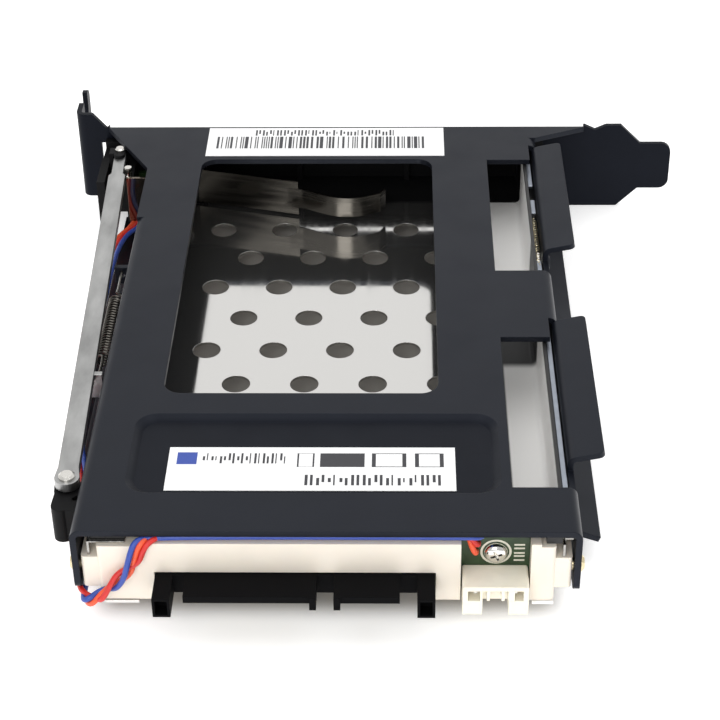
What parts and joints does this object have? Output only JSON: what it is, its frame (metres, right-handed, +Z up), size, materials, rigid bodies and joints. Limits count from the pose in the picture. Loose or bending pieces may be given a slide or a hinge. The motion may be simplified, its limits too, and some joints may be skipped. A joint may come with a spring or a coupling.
{
  "type": "hot swap drive cage",
  "caption": "Trayless drive bay on an expansion slot bracket: sheet metal cover over a polished cage, sprung front door, connector block and push-button eject linkage.",
  "frame": {"origin": "bottom centre of the box around the whole part", "axes": "+X along the slot bracket from its screw flange to its tongue, +Y forward out through the slot bracket, +Z up from the cage floor to the cover"},
  "size_m": [0.12, 0.144, 0.0211],
  "materials": {
    "charcoal_paint": "satin powder coat",
    "polished_sheet": "polished",
    "ivory_plastic": "semi-gloss moulded",
    "black_plastic": "fine moulded texture",
    "green_board": "solder resist",
    "gold_plate": "plated",
    "white_nylon": "natural nylon",
    "tin_plate": "plated",
    "nickel_plate": "plated",
    "brass_plate": "plated",
    "zinc_steel": "zinc plated, brushed along its length",
    "spring_steel": "brushed",
    "clear_lens": "clear",
    "blue_insulation": "smooth",
    "red_insulation": "smooth",
    "orange_insulation": "smooth",
    "silver_label": "satin film",
    "white_label": "satin film"
  },
  "bodies": {
    "cage": {"mounting_frame": "charcoal_paint", "inner_cage": "polished_sheet", "connector_block": "ivory_plastic", "circuit_board": "green_board", "sata_plug": "black_plastic", "plug_contacts": "gold_plate", "drive_receptacle": "black_plastic", "receptacle_contacts": "gold_plate", "power_header": "white_nylon", "header_pins": "tin_plate", "board_screw": "nickel_plate", "side_screws": "brass_plate", "cage_screws": "nickel_plate", "cage_spacers": "tin_plate", "front_frame": "black_plastic", "door_hinge_pin": "nickel_plate", "button_stop_pin": "nickel_plate", "bar_guide_pin": "nickel_plate", "lever_pivot_pin": "nickel_plate", "return_spring": "spring_steel", "status_light": "clear_lens", "light_board": "green_board", "lead_blue": "blue_insulation", "lead_red": "red_insulation", "lead_orange": "orange_insulation", "upper_label": "silver_label", "lower_label": "white_label"},
    "door": {"door": "black_plastic", "door_spring": "spring_steel", "spring_rivets": "nickel_plate"},
    "ejector": {"eject_button": "black_plastic", "eject_bar": "zinc_steel", "bar_front_pin": "nickel_plate", "bar_rivet": "nickel_plate"},
    "lever": {"eject_lever": "black_plastic"}
  },
  "joints": [
    {"name": "door_hinge", "type": "hinge", "parent": "cage", "child": "door", "pos_m": [-0.04349, 0.06288, 0.00902], "axis": [0, 0, 1], "range_deg": [0, 95]},
    {"name": "eject_slide", "type": "slide", "parent": "cage", "child": "ejector", "axis": [0, -1, 0], "range_m": [0, 0.0024], "stiffness_N_per_m": 400, "springref_m": -0.001, "deforming": ["return_spring"]},
    {"name": "lever_turn", "type": "hinge", "parent": "cage", "child": "lever", "pos_m": [-0.04279, -0.05262, 0.01202], "axis": [0, 0, 1], "range_deg": [0, 38]}
  ],
  "couplings": [
    {"joint": "lever_turn", "follows": "eject_slide", "rad_per_m": 275.25}
  ]
}
